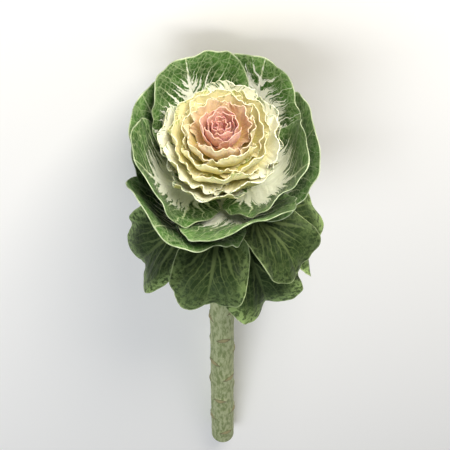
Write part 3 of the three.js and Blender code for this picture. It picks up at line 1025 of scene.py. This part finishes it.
@dataclass
class Stem:
    """The woody stem, scarred where its leaves were stripped, with a fresh cut at its foot."""

    length: float = STEM_LENGTH
    top: float = 62
    cut_radius: float = CUT_RADIUS
    neck_radius: float = 8.4
    neck_height: float = 27
    tip_radius: float = 2.4
    sway: float = 5
    scar_spacing: float = 14.7
    scar_first: float = 38
    scar_half_width: float = 5
    scar_half_height: float = 2.4
    scar_relief: float = 1.1
    sides: int = 88
    rings: int = 420
    name: str = "woody_stem"

    # Radii of the rings that close each end, as shares of the radius there
    TIP_RINGS = (0.7, 0.3)
    CUT_RINGS = (0.94, 0.86, 0.74, 0.5, 0.25)
    MEAN_RADIUS = 9  # turns an angle into millimetres round the bark
    ON_END = 0.01  # a vertex no further than this from an end belongs to it

    def radius(self, z: np.ndarray) -> np.ndarray:
        """Works out the bare stem's radius. Inside the head it tapers to the growing tip.

        Args:
            z: height.

        Returns:
            The radius at that height.
        """
        share = (z + self.length) / (self.length + self.neck_height)
        trunk = lerp(self.cut_radius, self.neck_radius, share)
        return lerp(trunk, self.tip_radius, smoothstep(z, self.neck_height - 1, self.top))

    def scars(self, angle: np.ndarray, z: np.ndarray) -> tuple[np.ndarray, np.ndarray]:
        """How the leaf scars shape the bark.

        Args:
            angle: direction from the stem's axis.
            z: height.

        Returns:
            The relief in millimetres, and the distance from the nearest scar's middle as a
            share of the way to its rim.
        """
        relief = np.zeros_like(z)
        nearest = np.full_like(z, FAR)
        scarred = self.length - self.scar_first - self.scar_half_height * 2
        count = int(scarred // self.scar_spacing)
        for scar in range(count):
            middle = -self.scar_first - scar * self.scar_spacing
            turn = -(scar + 1) * GOLDEN_ANGLE
            around = (np.mod(angle - turn + math.pi, 2 * math.pi) - math.pi) * self.radius(z)
            up = z - middle
            crescent = up + 0.09 * around ** 2 - 0.6
            away = np.hypot(around / self.scar_half_width, crescent / self.scar_half_height)
            pad_around = around / (self.scar_half_width * 1.05)
            pad = np.exp(-(pad_around ** 2) - (up / (self.scar_half_height * 1.15)) ** 2)
            hollow = 0.35 * (1 - smoothstep(away, 0.3, 1))
            lip = 0.3 * np.exp(-(((away - 1.05) / 0.22) ** 2))
            trail = 0.35 * np.exp(-((around / 3.2) ** 2)) * smoothstep(up, -24, -3) * (up < 0)
            relief += self.scar_relief * pad + trail + lip - hollow
            nearest = np.minimum(nearest, away)
        return relief, nearest

    def build(self, lie: Lie) -> Piece:
        """Models the stem as a tube with a domed tip and a cut foot.

        Args:
            lie: how the plant lies.

        Returns:
            The stem, in place, with the attributes that its material reads.
        """
        deselect_all()
        bpy.ops.mesh.primitive_grid_add(
            x_subdivisions=self.sides, y_subdivisions=self.rings, size=2)
        piece = bpy.context.object
        piece.name = self.name
        grid = vertex_places(piece)
        angle = grid[:, 0] * math.pi
        z = lerp(-self.length, self.top, (grid[:, 1] + 1) / 2)
        relief, scar = self.scars(angle, z)
        ridges = 0.18 * wobble(angle * 5, 3.1, 4) + 0.12 * wobble(z / 7, 8.2, 5)
        bare = (z < self.neck_height) * smoothstep(z, -self.length, -self.length + 1)
        radius = self.radius(z) + (relief + ridges) * bare
        below = np.maximum(0, -z) / self.length
        bow = self.sway * np.sin(below * math.pi) * below
        points = np.stack([bow + radius * np.cos(angle), radius * np.sin(angle), z], axis=1)
        move_vertices(piece, points)
        around = angle * self.MEAN_RADIUS
        write_attribute(piece, "bark", np.stack([around, z, radius], axis=1))
        write_attribute(piece, "scar", scar)
        write_attribute(piece, "cut", np.full_like(z, FAR))
        self.close_ends(piece)
        places = lie.to_scene(vertex_places(piece))
        places[:, 2] = np.maximum(places[:, 2], 0)
        move_vertices(piece, places)
        bpy.ops.object.shade_smooth_by_angle(angle=CREASE)
        return piece

    def close_ends(self, piece: Piece) -> None:
        """Joins the tube's seam and closes its tip and its cut foot with rings that shrink.

        Args:
            piece: the stem, still upright and in millimetres.
        """
        bpy.ops.object.mode_set(mode="EDIT")
        bpy.ops.mesh.select_all(action="SELECT")
        bpy.ops.mesh.remove_doubles(threshold=self.ON_END)
        for end, shares in ((self.top, self.TIP_RINGS), (-self.length, self.CUT_RINGS)):
            bpy.ops.object.mode_set(mode="OBJECT")
            places = vertex_places(piece)
            at_end = np.abs(places[:, 2] - end) < self.ON_END
            piece.data.vertices.foreach_set("select", at_end)
            piece.data.edges.foreach_set("select", [False] * len(piece.data.edges))
            piece.data.polygons.foreach_set("select", [False] * len(piece.data.polygons))
            bpy.ops.object.mode_set(mode="EDIT")
            bpy.ops.mesh.select_mode(type="VERT")
            before = 1.0
            for share in shares:
                bpy.ops.mesh.extrude_region_move()
                scale = share / before
                bpy.ops.transform.resize(value=(scale, scale, 1), center_override=(0, 0, end))
                before = share
            bpy.ops.mesh.merge(type="CENTER")
        bpy.ops.mesh.select_all(action="SELECT")
        bpy.ops.mesh.normals_make_consistent(inside=False)
        bpy.ops.object.mode_set(mode="OBJECT")
        self.mark_cut(piece)

    def mark_cut(self, piece: Piece) -> None:
        """Stores how far each point of the cut face lies from the stem's axis, as a share.

        Args:
            piece: the stem, still upright and in millimetres.
        """
        places = vertex_places(piece)
        on_cut = np.abs(places[:, 2] + self.length) < self.ON_END
        share = np.hypot(places[:, 0], places[:, 1]) / self.cut_radius
        shares = np.where(on_cut, share, FAR).astype(np.float32)
        piece.data.attributes["cut"].data.foreach_set("value", shares)


@dataclass(frozen=True)
class BarkFinish:
    """Young cabbage wood: green bark under a pale waxy bloom, corky brown at its scars."""

    name: str = "young_bark_grey_green"
    bark: str = "#7d8a55"
    bloom: str = "#b0b78a"
    scar: str = "#9a9268"
    scar_rim: str = "#6f6a48"
    pith: str = "#e6e6c0"
    wood: str = "#c8cf98"

    STREAKS = (0.55, 0.11, 0.5)  # makes the bloom's streaks about 2 mm wide and 9 mm long
    GRAIN_PER_METRE = 700  # pores, drawn 1.4 mm apart so that they show
    PITH_EDGE, WOOD_EDGE, BARK_EDGE = 0.62, 0.74, 0.93  # shares of the cut's radius

    def material(self) -> Material:
        """Builds the finish.

        Returns:
            The finish as a node material.
        """
        material = new_material(self.name)
        tree = material.node_tree
        bark = add_node(tree, ATTRIBUTE, attribute_name="bark").outputs["Vector"]
        scar, cut = (add_node(tree, ATTRIBUTE, attribute_name=name).outputs["Fac"]
                     for name in ("scar", "cut"))
        drawn = add_node(tree, "ShaderNodeMapping", {"Vector": bark, "Scale": self.STREAKS})
        streaks = add_node(tree, NOISE, {"Vector": drawn, "Scale": 1, "Detail": 5,
                                         "Roughness": 0.6})
        position = add_node(tree, "ShaderNodeTexCoord").outputs["Object"]
        grain = add_node(tree, NOISE, {"Vector": position, "Scale": self.GRAIN_PER_METRE,
                                       "Detail": 4})
        waxed = add_node(tree, MAP_RANGE, {0: streaks, 1: 0.38, 2: 0.6}, **SMOOTH)
        inside = add_node(tree, MAP_RANGE, {0: scar, 1: 0.8, 2: 1.05, 3: 1, 4: 0}, **SMOOTH)
        ring = add_node(tree, MATH, {0: scar, 1: 1.0}, operation="SUBTRACT")
        ring = add_node(tree, MATH, {0: ring}, operation="ABSOLUTE")
        ring = add_node(tree, MAP_RANGE, {0: ring, 1: 0.06, 2: 0.3, 3: 0.85, 4: 0}, **SMOOTH)
        on_cut = add_node(tree, MAP_RANGE, {0: cut, 1: 0.97, 2: 1.02, 3: 1, 4: 0})
        flesh = add_node(tree, "ShaderNodeValToRGB", {0: cut})
        ramp = flesh.color_ramp
        ramp.elements[0].position, ramp.elements[0].color = self.PITH_EDGE, colour(self.pith)
        ramp.elements[1].position, ramp.elements[1].color = self.WOOD_EDGE, colour(self.wood)
        ramp.elements.new(self.BARK_EDGE).color = colour(self.bark)
        skin = paint(tree, self.bark, (waxed, self.bloom), (inside, self.scar),
                     (ring, self.scar_rim), (on_cut, flesh))
        rough = add_node(tree, MAP_RANGE, {0: streaks, 1: 0.3, 2: 0.7, 3: 0.55, 4: 0.8})
        height = add_node(tree, MATH, {0: streaks, 1: 1.5, 2: grain}, operation="MULTIPLY_ADD")
        bump = add_node(tree, "ShaderNodeBump", {"Strength": 0.5, "Distance": 0.4 * MM,
                                                 "Height": height})
        shader = add_node(tree, "ShaderNodeBsdfPrincipled", {
            "Base Color": skin, "Roughness": rough, "Normal": bump, "IOR": WAX_IOR,
        })
        add_node(tree, "ShaderNodeOutputMaterial", {"Surface": shader})
        return material


@dataclass
class KaleStem:
    """The whole plant: its stem and its tiers of leaves."""

    lie: Lie
    unevenness: Unevenness

    # The nodes of the tiers that are one node each
    NODES = {
        Tier.MARBLED: "marbled_leaves", Tier.CREAM: "cream_leaves", Tier.HEART: "heart_leaves",
    }

    def build(self) -> None:
        """Builds and dresses every piece, each in place of the node that it stands for."""
        stem = Stem().build(self.lie)
        self.dress(stem, BarkFinish().material(), "stem")
        for tier in Tier:
            material = FINISHES[tier].material()
            for index in range(len(SHAPES[tier].orders)):
                leaf = Leaf(tier, index)
                piece = leaf.build(self.lie, self.unevenness)
                self.dress(piece, material, self.NODES.get(tier, leaf.node))

    def dress(self, piece: Piece, material: Material, node: str) -> None:
        """Gives a piece its finish and its place in the part, and reports it.

        Args:
            piece: the piece.
            material: its finish.
            node: the node of the construction model that it stands for.
        """
        piece.data.materials.clear()
        piece.data.materials.append(material)
        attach(piece, "root")
        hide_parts(node)
        low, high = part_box(node)
        own = vertex_places(piece)
        past = max(max(low[k] - own[:, k].min(), own[:, k].max() - high[k]) for k in range(3)) / MM
        faces = len(piece.data.polygons)
        LOG.info("%s: %d faces, %.1f mm past its node", piece.name, faces, past)


@dataclass(frozen=True)
class Studio:
    """A pale floor, soft light and a camera that looks down on the head from in front of it."""

    head: tuple[float, float, float] = (0, -0.21, 0.07)
    elevation: float = 38 * DEGREE
    distance: float = 1.05
    aim: tuple[float, float, float] = (0, -0.12, 0.055)
    lens: float = 133
    lit: tuple[float, float, float] = (0, -0.15, 0.06)  # where the lights point
    floor_side: float = 12
    floor_colour: str = "#f7f6f2"
    sky_colour: str = "#f2f5fa"
    sky_strength: float = 0.26

    def build(self) -> None:
        """Sets the floor, the lights and the camera."""
        self.floor()
        self.light("key", (-0.3, -1.36, 0.44), 0.55, 25.5, "#fff8ee")
        self.light("top", (0.45, 0, 1.2), 0.9, 9, "#f4f8ff")
        self.world()
        self.camera()

    def floor(self) -> None:
        """A wide pale floor."""
        deselect_all()
        bpy.ops.mesh.primitive_plane_add(size=self.floor_side)
        plane = bpy.context.object
        plane.name = "floor"
        material = new_material("floor_matt_paper")
        tree = material.node_tree
        shader = add_node(tree, "ShaderNodeBsdfPrincipled", {
            "Base Color": colour(self.floor_colour), "Roughness": 0.85,
        })
        add_node(tree, "ShaderNodeOutputMaterial", {"Surface": shader})
        plane.data.materials.append(material)

    def light(self, name: str, place: tuple[float, float, float], size: float, power: float,
              code: str) -> None:
        """Hangs a square soft light that faces the head.

        Args:
            name: the light's name.
            place: where it hangs.
            size: the length of its side.
            power: watts.
            code: its colour.
        """
        lamp = bpy.data.lights.new(name, "AREA")
        lamp.size = size
        lamp.energy = power
        lamp.color = colour(code)[:3]
        holder = bpy.data.objects.new(name, lamp)
        bpy.context.scene.collection.objects.link(holder)
        holder.location = place
        sight = Vector(self.lit) - Vector(place)
        holder.rotation_euler = sight.to_track_quat("-Z", "Y").to_euler()

    def world(self) -> None:
        """An even pale sky that fills the shadows."""
        world = bpy.data.worlds.new("sky")
        world.use_nodes = True
        sky = world.node_tree.nodes["Background"].inputs
        sky["Color"].default_value = colour(self.sky_colour)
        sky["Strength"].default_value = self.sky_strength
        bpy.context.scene.world = world

    def camera(self) -> None:
        """Looks down on the head from in front, turned so that the stem runs down the picture."""
        lens = bpy.data.cameras.new("camera")
        lens.lens = self.lens
        camera = bpy.data.objects.new("camera", lens)
        bpy.context.scene.collection.objects.link(camera)
        away = Vector((0, -math.cos(self.elevation), math.sin(self.elevation)))
        camera.location = Vector(self.head) + away * self.distance
        sight = Vector(self.aim) - camera.location
        turned = Matrix.Rotation(math.pi, 4, "Z")
        facing = sight.to_track_quat("-Z", "Y").to_matrix().to_4x4()
        camera.rotation_euler = (facing @ turned).to_euler()
        bpy.context.scene.camera = camera
        bpy.context.scene.view_settings.view_transform = "Standard"


def main() -> None:
    """Builds the plant and its studio."""
    logging.basicConfig(level=logging.INFO, format="%(message)s")
    KaleStem(Lie(), Unevenness()).build()
    Studio().build()


if __name__ == "__main__":
    main()
